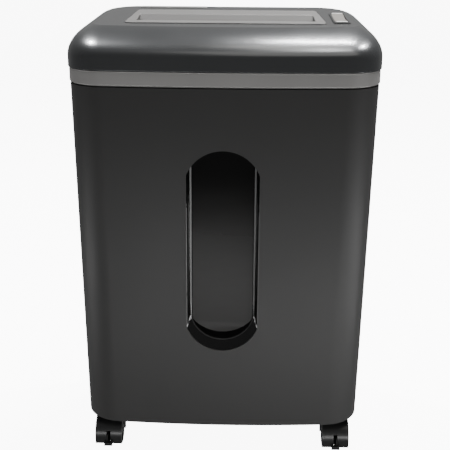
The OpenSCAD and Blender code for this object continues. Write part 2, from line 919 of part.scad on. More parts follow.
// Smoked moulding behind the opening: rim, slanted sides and pane, and the
// pocket above the arch that a hand pulls the drawer by
module window_insert() {
  color("#141516") behind_panel() difference() {
    union() {
      along_y(0, insert_t) window_shape(rim_w);
      along_y(0, insert_t)
        translate([-window_half - rim_w, arch_z1]) square([2*(window_half + rim_w), pull_z + 6 - arch_z1]);
      insert_body(insert_t, pane_depth + insert_t);
    }
    difference() {
      insert_body(0, pane_depth);
      block(-body_w, body_w, -1, 40, pull_z, body_h);
    }
    along_y(-1, eps) window_shape(0);
  }
}

module insert_body(grow, depth) {
  near = window_half + grow;
  far = window_half - 6 + grow;
  translate([0, 0, arch_z0]) linear_extrude(pull_z + grow - arch_z0)
    polygon([[-near, 0], [near, 0], [far, depth], [-far, depth]]);
  intersection() {
    translate([0, 0, arch_z0]) rotate([-90, 0, 0])
      cylinder(r1 = arch_r + grow, r2 = window_half - 6 + grow, h = depth);
    block(-near, near, -1, depth + 1, 0, arch_z0 + 1);
  }
}

// Open-topped bin with a cut-out behind the window and a runner on each side
module waste_bucket() {
  color("#3a3d3f") difference() {
    union() {
      block(-bin_half, bin_half, bin_y0, bin_y1, bin_z0, bin_z1);
      for (side = [-1, 1])
        block(side*rail_x - 5, side*rail_x + 5, -94, bin_y1 - 2, foot_z + 6.6, bin_z0 + 1);
    }
    block(-bin_half + bin_t, bin_half - bin_t, bin_y0 + bin_t, bin_y1 - bin_t,
      bin_z0 + bin_t, body_h);
    block(-window_half + 3, window_half - 3, bin_y0 - 1, bin_y0 + bin_t + 1,
      window_z0 + 8, bin_z1 - 20);
    for (side = [-1, 1], z = boss_z) rod_y(side*boss_x, bin_y0 - 1, bin_y0 + 4, z, 1.6);
  }
}

module panel_screws() {
  color("#b9bcbf") for (side = [-1, 1], z = boss_z) {
    rod_y(side*boss_x, bin_y0 - 10, bin_y0 + bin_t + 0.2, z, 1.6);
    rod_y(side*boss_x, bin_y0 + bin_t, bin_y0 + bin_t + 2, z, 3.5);
  }
}

// ------------------------------------------------------------------- casters

module at_caster(side, row) {
  translate([side*caster_x, stem_y[row], 0]) children();
}

module caster_stems() {
  color("#b9bcbf") for (side = [-1, 1], row = [0, 1]) at_caster(side, row) union() {
    translate([0, 0, stem_foot]) cylinder(r = stem_r, h = foot_z + socket_h - stem_foot);
    translate([0, 0, foot_z - 2.6]) cylinder(r = 8, h = 2.6);
  }
}

// Hood over both wheels, with a web between them. Front casters have a slit
// through the web for the brake lever.
module caster_housing(side, row) {
  axle = [-trail, wheel_r];
  color("#1b1c1d") at_caster(side, row) difference() {
    union() {
      rod_x(-hood_half, hood_half, axle, hood_r);
      translate([0, 0, wheel_r]) cylinder(r = 9, h = foot_z - 3 - wheel_r);
    }
    for (end = [-1, 1])
      rod_x(end*(web_half + 10) - 10, end*(web_half + 10) + 10, axle, wheel_r + hood_gap);
    block(-hood_half - 1, hood_half + 1, -trail - 40, 40, -hood_r, wheel_r/2);
    translate([0, 0, stem_foot - 0.5]) cylinder(r = stem_r + run_fit, h = 20);
    rod_x(-hood_half - 1, hood_half + 1, axle, axle_r);
    if (row == 0) {
      rod_x(-2.6, 2.6, axle, 6.2);
      block(-2.6, 2.6, -trail - 40, -trail, 0, wheel_r + 9);
    }
  }
}

module caster_axle(side, row) {
  color("#b9bcbf") at_caster(side, row)
    rod_x(-hood_half, hood_half, [-trail, wheel_r], axle_r);
}

module caster_wheels(side, row) {
  color("#202122") at_caster(side, row) for (end = [-1, 1])
    translate([end*(web_half + 0.6), -trail, wheel_r]) rotate([0, end*90, 0]) rotate_extrude()
      polygon([
        [axle_r + run_fit, 0], [wheel_r - 1.5, 0], [wheel_r, 1.5], [wheel_r, 8.4],
        [wheel_r - 1.5, 9.9], [wheel_r - 4.5, 9.9], [wheel_r - 5.5, 7.5], [7, 7.5],
        [6, 9.9], [axle_r + run_fit, 9.9]
      ]);
}

// Toe lever of a front caster's brake, turning on the axle
module brake_lever(side) {
  reach = hood_r + 1.2;
  color("#161718") at_caster(side, 0) translate([0, -trail, wheel_r]) difference() {
    union() {
      rod_x(-2, 2, [0, 0], 5.5);
      along_x(-2, 2) rotate(195) translate([0, -2.5]) square([reach + 1, 5]);
      along_x(-5.5, 5.5) rotate(195) translate([reach, -2.5]) square([4.8, 5]);
    }
    rod_x(-3, 3, [0, 0], axle_r + run_fit);
  }
}

// ------------------------------------------------------------------ assembly

cabinet_shell();
base_plate();
bin_rails();
top_frame();
band_ring();
head_tray();
head_cover();
throat_plate();
label_plate();
switch_bezel();
feed_guides();
side_plate_left();
side_plate_right();
tie_rods();
shaft_bushes();
comb_front();
comb_rear();
motor_stator();
motor_brackets();
gear_studs();
gear_plate();
control_board();
safety_switch();
cord_gland();
case_screws();
caster_stems();
front_panel();
window_insert();
waste_bucket();
panel_screws();
mode_rocker();
interlock_plunger();
sensor_lever();
cutter_shaft_a();
cutter_discs_a();
timing_gear_a();
cutter_shaft_b();
cutter_discs_b();
timing_gear_b();
drive_gear();
idler_gear_1();
idler_gear_2();
motor_rotor();
motor_pinion();
cooling_fan();
caster_housing(-1, 0);  // caster_housing_fl
caster_axle(-1, 0);  // caster_axle_fl
caster_wheels(-1, 0);  // caster_wheels_fl
brake_lever(-1);  // brake_lever_fl
caster_housing(1, 0);  // caster_housing_fr
caster_axle(1, 0);  // caster_axle_fr
caster_wheels(1, 0);  // caster_wheels_fr
brake_lever(1);  // brake_lever_fr
caster_housing(-1, 1);  // caster_housing_rl
caster_axle(-1, 1);  // caster_axle_rl
caster_wheels(-1, 1);  // caster_wheels_rl
caster_housing(1, 1);  // caster_housing_rr
caster_axle(1, 1);  // caster_axle_rr
caster_wheels(1, 1);  // caster_wheels_rr
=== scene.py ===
# %% [markdown]
# # A paper shredder on casters
# The shredder is a tapered plastic case with a metallic lid, and its working
# parts sit inside as CAD solids. This file dresses that frame: it rebuilds the
# shells with soft edges, gives every surface a finish and adds the studio.
# Lengths are metres, the floor is at z = 0 and the front faces -Y.

import math

import bmesh
import bpy
from mathutils import Matrix, Vector


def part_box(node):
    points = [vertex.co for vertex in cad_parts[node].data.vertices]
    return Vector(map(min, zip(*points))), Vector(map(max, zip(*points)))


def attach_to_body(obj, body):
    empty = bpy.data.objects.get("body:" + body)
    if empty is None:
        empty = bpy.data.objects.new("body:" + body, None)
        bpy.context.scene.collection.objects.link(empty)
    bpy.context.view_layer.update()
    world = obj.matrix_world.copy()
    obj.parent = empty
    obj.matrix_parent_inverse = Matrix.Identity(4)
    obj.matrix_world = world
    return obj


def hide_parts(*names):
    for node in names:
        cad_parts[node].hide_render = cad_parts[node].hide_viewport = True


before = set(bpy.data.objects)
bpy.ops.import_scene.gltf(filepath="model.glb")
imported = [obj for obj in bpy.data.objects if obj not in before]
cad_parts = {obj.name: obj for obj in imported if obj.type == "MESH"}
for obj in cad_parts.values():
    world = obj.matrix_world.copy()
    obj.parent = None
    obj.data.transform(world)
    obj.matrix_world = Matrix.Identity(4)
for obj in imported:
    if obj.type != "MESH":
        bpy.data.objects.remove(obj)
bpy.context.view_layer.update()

# %% [markdown]
# ## Sizes
# The large sizes come from the boxes of the CAD nodes, so the shells always
# meet the parts they cover. A box can't say how round a corner is or how far
# the case tapers, so those few numbers are named here.

# %% Driving sizes
mm = 0.001
case_lo, case_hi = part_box("cabinet_shell")
panel_lo, panel_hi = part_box("front_panel")
lid_lo, lid_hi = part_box("head_cover")
band_lo, band_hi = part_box("band_ring")

taper_w = 16 * mm
lean = 6.5 * mm
front_r = 48 * mm
rear_r = 40 * mm
bow_r = 1700 * mm
wall = 3 * mm
seam = 1 * mm

foot_z = case_lo.z
split_z = case_hi.z
case_w = case_hi.x - case_lo.x
case_half = case_hi.y
seam_y = (panel_hi.y + case_lo.y) / 2
lid_w = lid_hi.x - lid_lo.x
lid_d = lid_hi.y - lid_lo.y
lid_z = lid_lo.z
shoulder_z = lid_z + 14 * mm
front_in, side_in, back_in = 58 * mm, 20 * mm, 36 * mm
top_taper = 16 * mm
top_slope = math.radians(4.4)
crest = math.radians(68)
slot_y = -4 * mm
print("case", round(case_w, 3), "lid", round(lid_w, 3), round(lid_d, 3))

# %% [markdown]
# ## Outlines
# Every shell shares one plan: a bowed front, four tangent corners and a straight
# back. A function gives it at any height, so the case, the band and the lid
# stay concentric.

# %% Plan outline
def arc(centre, radius, start, end, steps, first=0):
    turns = [start + (end - start) * i / steps for i in range(first, steps + 1)]
    return [(centre[0] + radius * math.cos(t), centre[1] + radius * math.sin(t)) for t in turns]


def plan(w, y0, y1, rf, rb, bow, corner_steps=16):
    bow_y = y0 + bow
    fx = w / 2 - rf
    fy = bow_y - math.sqrt((bow - rf) ** 2 - fx**2)
    tangent = math.atan2(fy - bow_y, fx)
    bx, by = w / 2 - rb, y1 - rb
    half_turn = math.pi
    return (
        arc((0, bow_y), bow, -half_turn - tangent, tangent, 28)
        + arc((fx, fy), rf, tangent, 0, corner_steps, 1)
        + arc((bx, by), rb, 0, half_turn / 2, corner_steps)
        + arc((-bx, by), rb, half_turn / 2, half_turn, corner_steps)
        + arc((-fx, fy), rf, half_turn, half_turn - tangent, corner_steps)[:-1]
    )


def used_taper(z):
    return (split_z - z) / (split_z - foot_z)


def front_at(z):
    return -case_half + lean * used_taper(z)


def case_plan(z, inset=0.0):
    return plan(
        case_w - taper_w * used_taper(z) - 2 * inset,
        front_at(z) + inset,
        -front_at(z) - inset,
        front_r - inset,
        rear_r - inset,
        bow_r - inset,
    )


def top_z(y):
    return lid_hi.z + (y - (lid_hi.y - back_in)) * math.tan(top_slope)


print("outline points", len(case_plan(split_z)))

# %% [markdown]
# ## Mesh tools
# A shell is a path of rings skinned with quads. Holes are cut with the Boolean
# modifier and edges are rounded with the Bevel modifier, then both are applied,
# so that each finished piece is a plain mesh whose object sits at the origin.

# %% Mesh helpers
def new_piece(name, verts, faces):
    mesh = bpy.data.meshes.new(name)
    mesh.from_pydata([tuple(v) for v in verts], [], faces)
    mesh.update()
    piece = bpy.data.objects.new(name, mesh)
    bpy.context.scene.collection.objects.link(piece)
    return piece


def loft(name, rings, closed=False):
    n, k = len(rings[0]), len(rings)
    verts = [v for ring in rings for v in ring]
    faces = []
    for i in range(k if closed else k - 1):
        a, b = i * n, ((i + 1) % k) * n
        faces += [(a + j, a + (j + 1) % n, b + (j + 1) % n, b + j) for j in range(n)]
    if not closed:
        faces.append(tuple(range(n - 1, -1, -1)))
        faces.append(tuple((k - 1) * n + j for j in range(n)))
    return new_piece(name, verts, faces)


def raised(outline, z):
    return [(x, y, z) for x, y in outline]


def prism(name, outline, place):
    """A solid between two copies of an outline; place turns (u, v, 0 or 1) into a point."""
    n = len(outline)
    verts = [place(u, v, end) for end in (0, 1) for u, v in outline]
    faces = [tuple(range(n - 1, -1, -1)), tuple(range(n, 2 * n))]
    faces += [(j, (j + 1) % n, n + (j + 1) % n, n + j) for j in range(n)]
    piece = new_piece(name, verts, faces)
    outward(piece)
    return piece


def outward(piece):
    bm = bmesh.new()
    bm.from_mesh(piece.data)
    bmesh.ops.recalc_face_normals(bm, faces=bm.faces)
    bm.to_mesh(piece.data)
    bm.free()


def block(name, lo, hi):
    outline = [(lo[0], lo[1]), (hi[0], lo[1]), (hi[0], hi[1]), (lo[0], hi[1])]
    return prism(name, outline, lambda u, v, end: (u, v, hi[2] if end else lo[2]))


def bake(piece):
    depsgraph = bpy.context.evaluated_depsgraph_get()
    mesh = bpy.data.meshes.new_from_object(piece.evaluated_get(depsgraph))
    piece.modifiers.clear()
    piece.data = mesh
    return piece


def cut(piece, *cutters):
    for cutter in cutters:
        hole = piece.modifiers.new("cut", "BOOLEAN")
        hole.operation = "DIFFERENCE"
        hole.solver = "EXACT"
        hole.object = cutter
    bake(piece)
    for cutter in cutters:
        bpy.data.objects.remove(cutter, do_unlink=True)
    return piece


def soften(piece, width, segments=3, angle=32, smooth=30):
    bm = bmesh.new()
    bm.from_mesh(piece.data)
    bmesh.ops.remove_doubles(bm, verts=bm.verts, dist=2e-6)
    bmesh.ops.dissolve_degenerate(bm, dist=2e-6, edges=bm.edges)
    bm.to_mesh(piece.data)
    bm.free()
    bevel = piece.modifiers.new("edge", "BEVEL")
    bevel.width = width
    bevel.segments = segments
    bevel.limit_method = "ANGLE"
    bevel.angle_limit = math.radians(angle)
    piece.data.shade_smooth()
    bake(piece)
    piece.data.shade_smooth()
    piece.data.set_sharp_from_angle(angle=math.radians(smooth))
    even = piece.modifiers.new("even", "WEIGHTED_NORMAL")
    even.keep_sharp = True
    return bake(piece)


def from_node(node, name, width=0.6 * mm, segments=2):
    """A soft-edged copy of a CAD node, which then stands for it."""
    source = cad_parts[node].data
    piece = bpy.data.objects.new(name, source.copy())
    piece.data.materials.clear()
    bpy.context.scene.collection.objects.link(piece)
    bm = bmesh.new()
    bm.from_mesh(piece.data)
    bm.transform(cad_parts[node].matrix_world)
    bmesh.ops.remove_doubles(bm, verts=bm.verts, dist=2e-6)
    bmesh.ops.dissolve_limit(
        bm, angle_limit=math.radians(0.6), verts=bm.verts, edges=bm.edges
    )
    bm.to_mesh(piece.data)
    bm.free()
    return soften(piece, width, segments)


print("mesh helpers ready")

# %% [markdown]
# ## Shader tools
# A finish is a small formula: noise at the grain of the real surface drives
# roughness and bump. Wrapping a socket lets the formulas read as plain maths.

# %% Shader helpers
class Term:
    """A value socket that can be added, multiplied and so on."""

    def __init__(self, finish, socket):
        self.finish = finish
        self.socket = socket

    def math(self, operation, *others):
        node = self.finish.node("ShaderNodeMath", {"operation": operation})
        for socket, value in zip(node.inputs, others):
            self.finish.feed(socket, value)
        return Term(self.finish, node.outputs[0])

    def __add__(self, other):
        return self.math("ADD", self, other)

    def __sub__(self, other):
        return self.math("SUBTRACT", self, other)

    def __mul__(self, other):
        return self.math("MULTIPLY", self, other)

    def span(self, low, high, to_low=0.0, to_high=1.0):
        node = self.finish.node(
            "ShaderNodeMapRange",
            {"interpolation_type": "SMOOTHSTEP"},
            {"Value": self, "From Min": low, "From Max": high, "To Min": to_low, "To Max": to_high},
        )
        return Term(self.finish, node.outputs["Result"])


class Finish:
    """One material, built round a Principled shader."""

    def __init__(self, name, **constants):
        self.material = bpy.data.materials.new(name)
        self.material.use_nodes = True
        self.tree = self.material.node_tree
        self.shader = self.tree.nodes["Principled BSDF"]
        for label, value in constants.items():
            self.shader.inputs[label.replace("_", " ")].default_value = value
        self.place = self.node("ShaderNodeTexCoord").outputs["Object"]

    def feed(self, socket, value):
        if isinstance(value, Term):
            value = value.socket
        if isinstance(value, bpy.types.NodeSocket):
            self.tree.links.new(value, socket)
        else:
            socket.default_value = value

    def node(self, kind, settings=None, values=None):
        node = self.tree.nodes.new(kind)
        for name, value in (settings or {}).items():
            setattr(node, name, value)
        for name, value in (values or {}).items():
            self.feed(node.inputs[name], value)
        return node

    def noise(self, size, detail=2.0, roughness=0.5, stretch=(1, 1, 1)):
        """Noise whose features are about this many metres across."""
        scaled = self.node(
            "ShaderNodeMapping", None, {"Vector": self.place, "Scale": tuple(s / size for s in stretch)}
        )
        noise = self.node(
            "ShaderNodeTexNoise",
            None,
            {"Vector": scaled.outputs[0], "Scale": 1.0, "Detail": detail, "Roughness": roughness},
        )
        return Term(self, noise.outputs["Fac"])

    def axis(self, letter):
        split = self.node("ShaderNodeSeparateXYZ", None, {"Vector": self.place})
        return Term(self, split.outputs[letter])

    def mix(self, factor, a, b):
        node = self.node("ShaderNodeMix", {"data_type": "RGBA"})
        self.feed(node.inputs[0], factor)
        self.feed(node.inputs[6], (*a, 1.0) if isinstance(a, tuple) else a)
        self.feed(node.inputs[7], (*b, 1.0) if isinstance(b, tuple) else b)
        return node.outputs[2]

    def colour(self, value):
        self.feed(self.shader.inputs["Base Color"], value)

    def roughness(self, value):
        self.feed(self.shader.inputs["Roughness"], value)

    def bump(self, height, depth, strength=1.0):
        bump = self.node(
            "ShaderNodeBump", None, {"Height": height, "Distance": depth, "Strength": strength}
        )
        self.feed(self.shader.inputs["Normal"], bump.outputs[0])


def tone(grey, warm=0.0):
    """A near-neutral colour: warm above 0 leans to yellow, below 0 to blue."""
    return (grey * (1 + warm), grey, grey * (1 - warm))


print("shader helpers ready")

# %% [markdown]
# ## Moulded and painted finishes
# The case is dark moulded plastic with a fine spark-eroded grain, so its bump is
# small and dense. Handling leaves faint shiny patches, which are slow noise in
# the roughness.

# %% Plastics
def moulded(name, grey, warm, rough, grain=0.5 * mm, depth=0.02 * mm, patch=0.08, spread=0.12):
    finish = Finish(name, Specular_IOR_Level=0.5)
    fine = finish.noise(grain, 3.0, 0.6)
    slow = finish.noise(90 * mm, 3.0, 0.55)
    finish.colour(
        finish.mix(slow * 0.7 + fine * 0.3, tone(grey * (1 - spread), warm), tone(grey * (1 + spread), warm))
    )
    finish.roughness(slow * patch + fine * 0.06 + (rough - patch / 2 - 0.03))
    finish.bump(fine, depth, 0.6)
    return finish.material


case_grain = moulded("case_grain", 0.023, 0.02, 0.52, 0.7 * mm, 0.03 * mm)
bin_moulding = moulded("bin_moulding", 0.030, 0.0, 0.50, 1.2 * mm, 0.03 * mm)
black_moulding = moulded("black_moulding", 0.012, 0.0, 0.46, 0.9 * mm, 0.02 * mm)
base_moulding = moulded("base_moulding", 0.016, 0.0, 0.55, 1.2 * mm, 0.04 * mm)
caster_gloss = moulded("caster_gloss", 0.011, 0.0, 0.30, 1.4 * mm, 0.01 * mm, 0.10)
wheel_nylon = moulded("wheel_nylon", 0.014, 0.0, 0.42, 0.8 * mm, 0.02 * mm, 0.14)
comb_moulding = moulded("comb_moulding", 0.22, 0.0, 0.45)
# Painted shade: the groove's walls are painted darker than the plate, for the shadow inside the V.
groove_painted_shade = moulded("groove_painted_shade", 0.070, 0.03, 0.68)
natural_nylon = moulded("natural_nylon", 0.62, 0.05, 0.42)
rocker_satin = moulded("rocker_satin", 0.17, 0.08, 0.38, 0.8 * mm, 0.01 * mm)
light_mark = moulded("light_mark", 0.80, 0.0, 0.30, 1.0 * mm, 0.005 * mm)
print("plastics", len(bpy.data.materials))

# %% [markdown]
# The lid and the band carry metallic paint. Flakes a fraction of a millimetre
# across tilt the reflection a little, and a thin clear coat lies over them.

# %% Metallic paints
def metallic_paint(name, grey, warm, metallic, rough, flake=0.35 * mm, coat=0.25):
    finish = Finish(name, Metallic=metallic, Coat_Weight=coat, Coat_Roughness=0.18)
    flakes = finish.noise(flake, 2.0, 0.7)
    slow = finish.noise(70 * mm, 3.0, 0.5)
    sparkle = flakes.span(0.55, 0.8)
    finish.colour(finish.mix(sparkle * 0.5 + slow * 0.3, tone(grey * 0.88, warm), tone(grey * 1.35, warm)))
    finish.roughness(slow * 0.08 + flakes * 0.08 + (rough - 0.08))
    finish.bump(flakes, 0.012 * mm, 0.5)
    return finish.material


lid_paint = metallic_paint("lid_paint", 0.065, -0.04, 0.60, 0.25)
band_paint = metallic_paint("band_paint", 0.35, 0.02, 0.45, 0.42)
throat_paint = metallic_paint("throat_paint", 0.135, 0.02, 0.25, 0.46, 0.4 * mm, 0.0)
print("paints ready")

# %% [markdown]
# The window is smoked acrylic. It is nearly black and very smooth. Its colour and
# roughness change with height: the lower part is painted lighter, a painted
# reflection of the pale studio, and it is a little rougher there. The lip round it
# is polished black, and its inner edge is frosted along the sides.

# %% Smoked acrylic
def smoked_acrylic():
    finish = Finish("smoked_acrylic", Specular_IOR_Level=0.12)
    height = finish.axis("Z")
    pane_mottle = finish.noise(25 * mm, 4.0, 0.6, (0.35, 1, 1))
    band_wobble = finish.noise(60 * mm, 2.0, 0.5, (0.3, 1, 1.4))
    # Painted reflection: below this band the pane is painted lighter.
    low = (height + (band_wobble - 0.5) * (30 * mm)).span(0.40, 0.28)
    finish.colour(finish.mix(low * (pane_mottle * 0.3 + 0.8), tone(0.006), tone(0.038, 0.02)))
    finish.roughness(low * 0.20 + pane_mottle * 0.05 + 0.10)
    finish.bump(pane_mottle, 0.01 * mm, 0.2)
    return finish.material


def lip_gloss(name, specular):
    finish = Finish(name, Specular_IOR_Level=specular)
    ripple = finish.noise(18 * mm, 2.0, 0.5)
    finish.colour(finish.mix(ripple, tone(0.001), tone(0.004)))
    finish.roughness(ripple * 0.06 + 0.04)
    finish.bump(ripple, 0.8 * mm, 0.6)
    return finish.material


def frosted_moulding():
    """Frosted along the sides and polished round the bottom."""
    finish = Finish("frosted_edge", Specular_IOR_Level=0.5)
    frost = finish.axis("Z").span(0.205, 0.235)
    speck = finish.noise(0.6 * mm, 3.0, 0.6)
    finish.colour(finish.mix(frost * (speck * 0.2 + 0.8), tone(0.03), tone(0.13)))
    finish.roughness(frost * 0.3 + speck * 0.06 + 0.06)
    finish.bump(speck, 0.01 * mm, 0.5)
    return finish.material


pane_gloss = smoked_acrylic()
moulding_gloss = lip_gloss("lip_gloss", 0.40)
# The hollow is the lip finish with its reflection turned down: painted shade for the dark crescent under the
# pane.
hollow_shade_gloss = lip_gloss("hollow_shade_gloss", 0.04)
frosted_edge = frosted_moulding()
print("acrylics ready")

# %% [markdown]
# ## Metals
# Rolled and zinc-plated sheet has long faint streaks; turned and ground parts
# have tighter ones. Both are the same noise, stretched along one axis.

# %% Metals
def metal(name, colour, rough, streak, stretch, depth=0.01 * mm, metallic=1.0):
    finish = Finish(name, Metallic=metallic)
    lines = finish.noise(streak, 3.0, 0.65, stretch)
    cloud = finish.noise(30 * mm, 3.0, 0.6)
    dark = tuple(c * 0.78 for c in colour)
    finish.colour(finish.mix(lines * 0.5 + cloud * 0.5, dark, colour))
    finish.roughness(lines * 0.16 + cloud * 0.10 + (rough - 0.13))
    finish.bump(lines, depth, 0.4)
    return finish.material


zinc_sheet = metal("zinc_sheet", (0.60, 0.60, 0.58), 0.36, 0.8 * mm, (0.04, 1, 1))
ground_steel = metal("ground_steel", (0.42, 0.42, 0.43), 0.30, 0.4 * mm, (1, 0.08, 0.08))
sintered_bronze = metal("sintered_bronze", (0.50, 0.33, 0.14), 0.42, 0.5 * mm, (1, 1, 1))
motor_lacquer = metal("motor_lacquer", (0.09, 0.10, 0.11), 0.40, 0.5 * mm, (1, 0.1, 0.1), metallic=0.5)
copper_winding = metal("copper_winding", (0.62, 0.34, 0.18), 0.34, 1.1 * mm, (0.06, 1, 1), 0.2 * mm)
brushed_label = metal("brushed_label", (0.62, 0.62, 0.60), 0.32, 0.25 * mm, (0.03, 1, 1))
print("metals ready")

# %% [markdown]
# The circuit board is lacquered laminate. Its copper lanes lie under the lacquer
# as slightly raised, lighter bands.

# %% Circuit board
def board_laminate():
    finish = Finish("board_laminate", Coat_Weight=0.3, Coat_Roughness=0.2)
    lanes = finish.noise(5 * mm, 0.0, 0.5, (1, 1, 0.25))
    traces = lanes.span(0.50, 0.52)
    finish.colour(finish.mix(traces, (0.012, 0.055, 0.020), (0.03, 0.13, 0.05)))
    finish.roughness(traces * 0.1 + 0.35)
    finish.bump(traces, 0.04 * mm, 0.5)
    return finish.material


board_green = board_laminate()
print("materials", len(bpy.data.materials))

# %% [markdown]
# ## Repeats
# Screws and cooling slots repeat, so Geometry Nodes place them: a small tree
# holds one shape and sets it on points. Its sizes are named inputs, and the
# result is turned into a plain mesh, because an export keeps only meshes.

# %% Geometry Nodes helper
class Recipe:
    """A Geometry Nodes tree: named sizes in, one mesh out."""

    def __init__(self, name, **sizes):
        self.tree = bpy.data.node_groups.new(name, "GeometryNodeTree")
        face = self.tree.interface
        face.new_socket("Geometry", in_out="INPUT", socket_type="NodeSocketGeometry")
        for label in sizes:
            kind = "NodeSocketInt" if isinstance(sizes[label], int) else "NodeSocketFloat"
            face.new_socket(label, in_out="INPUT", socket_type=kind)
        face.new_socket("Geometry", in_out="OUTPUT", socket_type="NodeSocketGeometry")
        self.sizes = sizes
        self.given = self.tree.nodes.new("NodeGroupInput").outputs

    def node(self, kind, settings=None, values=None):
        node = self.tree.nodes.new(kind)
        for name, value in (settings or {}).items():
            setattr(node, name, value)
        for name, value in (values or {}).items():
            socket = node.inputs[name]
            if isinstance(value, bpy.types.NodeSocket):
                self.tree.links.new(value, socket)
            else:
                socket.default_value = value
        return node.outputs

    def vector(self, x=0.0, y=0.0, z=0.0):
        return self.node("ShaderNodeCombineXYZ", None, {"X": x, "Y": y, "Z": z})[0]

    def half(self, value):
        return self.node("ShaderNodeMath", {"operation": "MULTIPLY"}, {0: value, 1: 0.5})[0]

    def finish(self, shape, places, material, turn=(0.0, 0.0, 0.0)):
        placed = self.node(
            "GeometryNodeInstanceOnPoints", None, {"Points": places, "Instance": shape, "Rotation": turn}
        )[0]
        real = self.node("GeometryNodeRealizeInstances", None, {"Geometry": placed})[0]
        done = self.node("GeometryNodeSetMaterial", None, {"Geometry": real, "Material": material})[0]
        self.node("NodeGroupOutput", None, {"Geometry": done})

    def make(self, name, points=((0, 0, 0),)):
        """Run the tree on an object that is only points, and keep the mesh."""
        piece = new_piece(name, points, [])
        step = piece.modifiers.new("recipe", "NODES")
        step.node_group = self.tree
        for item in self.tree.interface.items_tree:
            if item.item_type == "SOCKET" and item.in_out == "INPUT" and item.name in self.sizes:
                step[item.identifier] = self.sizes[item.name]
        bake(piece)
        outward(piece)
        print(name, len(piece.data.polygons), "faces")
        return piece


# %% [markdown]
# The cooling slots let the motor's heat out of the back. They are milled here by
# a row of round-ended bars, which one Boolean cut takes away from the case.

# %% Cooling slot cutters
slot_count, slot_pitch, slot_drop = 15, 9 * mm, 41 * mm
slot_reach = 40 * mm


def slot_bars():
    recipe = Recipe(
        "slot_bars", Count=slot_count, Pitch=slot_pitch, Width=3.4 * mm, Height=42 * mm, Reach=slot_reach
    )
    given = recipe.given
    row = recipe.node(
        "GeometryNodeMeshLine",
        None,
        {"Count": given["Count"], "Offset": recipe.vector(x=given["Pitch"])},
    )[0]
    outline = recipe.node(
        "GeometryNodeCurvePrimitiveQuadrilateral",
        None,
        {"Width": given["Width"], "Height": given["Height"]},
    )[0]
    fillet = recipe.node(
        "GeometryNodeFilletCurve",
        {"mode": "POLY"},
        {"Curve": outline, "Radius": recipe.half(given["Width"]), "Count": 5, "Limit Radius": True},
    )[0]
    flat = recipe.node("GeometryNodeFillCurve", None, {"Curve": fillet})[0]
    bar = recipe.node(
        "GeometryNodeExtrudeMesh", {"mode": "FACES"}, {"Mesh": flat, "Offset Scale": given["Reach"]}
    )
    back = recipe.node("GeometryNodeFlipFaces", None, {"Mesh": flat})[0]
    closed = recipe.node("GeometryNodeJoinGeometry")
    join = closed[0].node
    recipe.tree.links.new(bar[0], join.inputs[0])
    recipe.tree.links.new(back, join.inputs[0])
    welded = recipe.node(
        "GeometryNodeMergeByDistance", None, {"Geometry": join.outputs[0], "Distance": 0.01 * mm}
    )[0]
    recipe.finish(welded, row, case_grain, (math.pi / 2, 0.0, 0.0))
    bars = recipe.make("cooling_bars")
    first = (-(slot_count - 1) / 2 * slot_pitch, case_half + slot_reach / 2, split_z - slot_drop)
    bars.data.transform(Matrix.Translation(first))
    return bars


bars = slot_bars()
print("bars reach", [round(v, 3) for v in bars.bound_box[0]], [round(v, 3) for v in bars.bound_box[6]])

# %% [markdown]
# ## Case
# The front of the case is the drawer's face and the rest is the fixed cabinet.
# Both are one loft of the plan outline, cut along the seam, so their corners
# match. A small bevel stands for the soft edge that a mould leaves.

# %% Case shells
def case_tube(name, z0, z1, steps=24):
    """The case wall, in short quads so that the long taper shades evenly."""
    levels = [z0 + (z1 - z0) * i / steps for i in range(steps + 1)]
    inner = [raised(case_plan(z, wall), z) for z in reversed(levels)]
    outer = [raised(case_plan(z), z) for z in levels]
    return loft(name, inner + outer, closed=True)


flange_t = 2.5 * mm


def flange(name, z, w):
    rings = [
        raised(case_plan(z, wall + w), z),
        raised(case_plan(z, wall / 2), z),
        raised(case_plan(z, wall / 2), z + flange_t),
        raised(case_plan(z, wall + w), z + flange_t),
    ]
    return loft(name, rings, closed=True)


def weld(piece, *others):
    for other in others:
        step = piece.modifiers.new("weld", "BOOLEAN")
        step.operation = "UNION"
        step.solver = "EXACT"
        step.object = other
    bake(piece)
    for other in others:
        bpy.data.objects.remove(other, do_unlink=True)
    return piece


def rod_y(name, x, y0, y1, z, r, sides=32):
    ring = arc((x, z), r, 0, 2 * math.pi, sides)[:-1]
    return prism(name, ring, lambda u, v, end: (u, y1 if end else y0, v))


window_half = 45 * mm
arch_r = 48 * mm
arch_z0, arch_z1 = 211 * mm, 379 * mm
boss_x = 120 * mm
boss_z = (110 * mm, 390 * mm)
bin_y0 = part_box("waste_bucket")[0].y
striker_x, striker_y, striker_z = 60 * mm, -84 * mm, 436 * mm


def window_outline(half, radius, low, high, steps=28):
    edge = math.acos(half / radius)
    lower = arc((0, low), radius, math.pi + edge, 2 * math.pi - edge, steps)
    upper = arc((0, high), radius, edge, math.pi - edge, steps)
    return lower + upper


def bow_at(x):
    return bow_r - math.sqrt(bow_r**2 - x**2)


